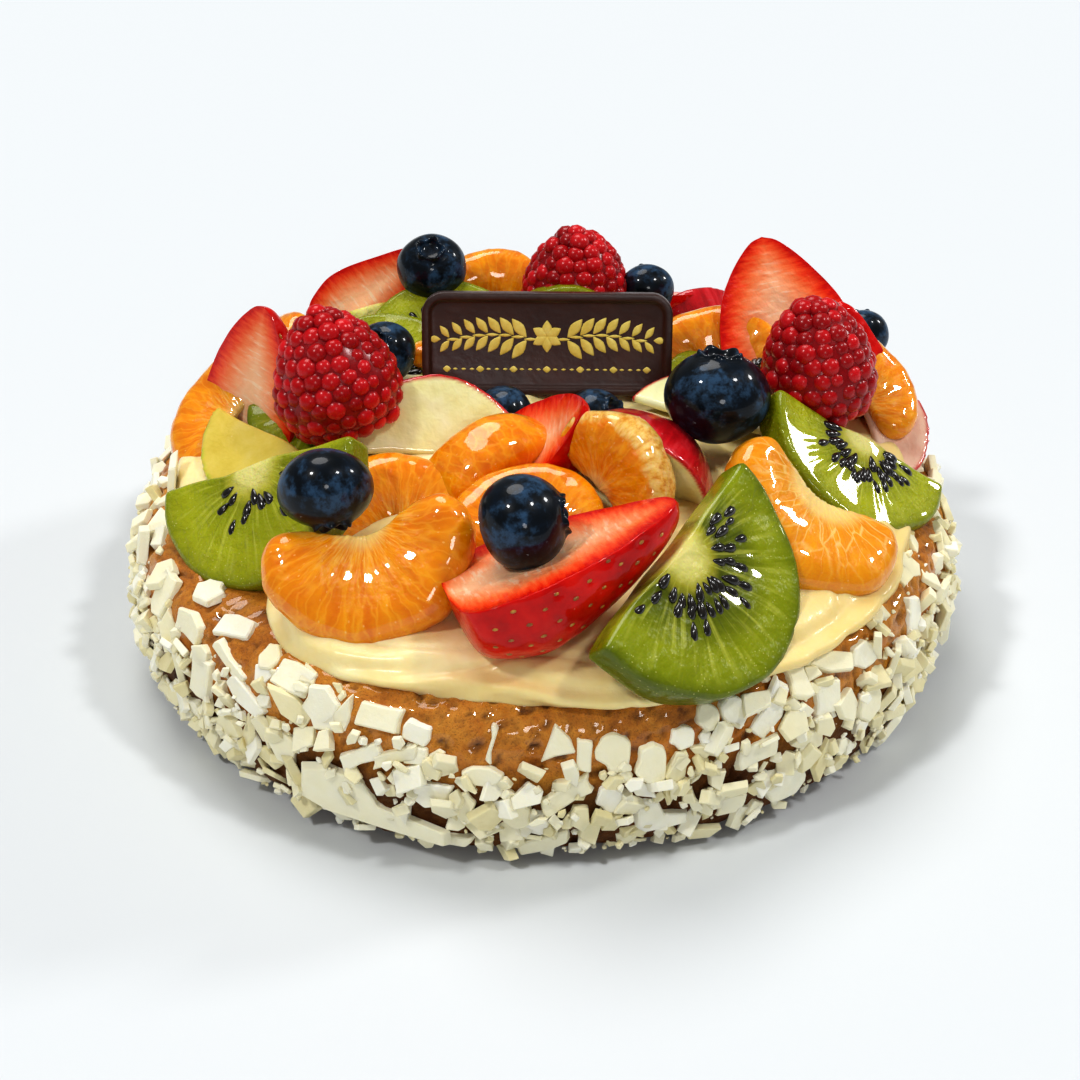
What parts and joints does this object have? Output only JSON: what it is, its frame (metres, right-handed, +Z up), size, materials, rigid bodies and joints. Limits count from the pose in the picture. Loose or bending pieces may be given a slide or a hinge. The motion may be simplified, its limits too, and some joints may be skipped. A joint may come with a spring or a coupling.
{
  "type": "fruit tart",
  "caption": "Round sponge tart rolled in white chocolate shards, topped with pastry cream, a heap of glazed cut fruit and berries, and a chocolate plaque.",
  "frame": {"origin": "centre of the flat underside of the sponge case, on the surface it rests on", "axes": "+Z up, -Y towards the front, which the chocolate plaque faces, +X to the right seen from the front"},
  "size_m": [0.1726, 0.1686, 0.0715],
  "materials": {
    "apple": "pale flesh with a thin red skin, wet under clear glaze",
    "blueberry": "near-black blue skin with a patchy pale bloom",
    "chocolate": "dark chocolate, satin, with a raised rim and a gilt printed ornament",
    "cream": "smooth pale yellow custard cream with a soft sheen",
    "kiwi": "green flesh with a pale core and black seeds, wet under clear glaze",
    "mandarin": "orange segment with pale fibres, wet under clear glaze",
    "raspberry": "crimson drupelets, moist under clear glaze",
    "sponge": "golden brown baked sponge, rough and open, under ivory white-chocolate shards",
    "strawberry": "red seeded skin, and a cut face that pales to peach at the middle, glazed"
  },
  "bodies": {
    "root": {"apple_back": "apple", "apple_back_right": "apple", "apple_left": "apple", "apple_low_right": "apple", "apple_middle": "apple", "apple_rear_left": "apple", "apple_red": "apple", "apple_right_edge": "apple", "blueberry_back_left": "blueberry", "blueberry_back_right": "blueberry", "blueberry_beside_plaque": "blueberry", "blueberry_front": "blueberry", "blueberry_left": "blueberry", "blueberry_low_left": "blueberry", "blueberry_low_right": "blueberry", "blueberry_rear": "blueberry", "blueberry_right": "blueberry", "blueberry_right_edge": "blueberry", "kiwi_back_high": "kiwi", "kiwi_back_low": "kiwi", "kiwi_behind_plaque": "kiwi", "kiwi_front": "kiwi", "kiwi_left": "kiwi", "kiwi_low_right": "kiwi", "kiwi_rear_left": "kiwi", "kiwi_rear_right": "kiwi", "kiwi_right": "kiwi", "kiwi_under_raspberry": "kiwi", "mandarin_back": "mandarin", "mandarin_back_right": "mandarin", "mandarin_behind_plaque": "mandarin", "mandarin_front": "mandarin", "mandarin_heap": "mandarin", "mandarin_left_edge": "mandarin", "mandarin_low": "mandarin", "mandarin_low_front": "mandarin", "mandarin_middle": "mandarin", "mandarin_rear": "mandarin", "mandarin_rear_left": "mandarin", "mandarin_right": "mandarin", "mandarin_right_edge": "mandarin", "pastry_cream": "cream", "plaque": "chocolate", "raspberry_back": "raspberry", "raspberry_left": "raspberry", "raspberry_right": "raspberry", "sponge_case": "sponge", "strawberry_back_left": "strawberry", "strawberry_behind_plaque": "strawberry", "strawberry_front": "strawberry", "strawberry_left": "strawberry", "strawberry_middle": "strawberry", "strawberry_rear": "strawberry", "strawberry_right": "strawberry", "strawberry_tall": "strawberry"}
  },
  "joints": []
}
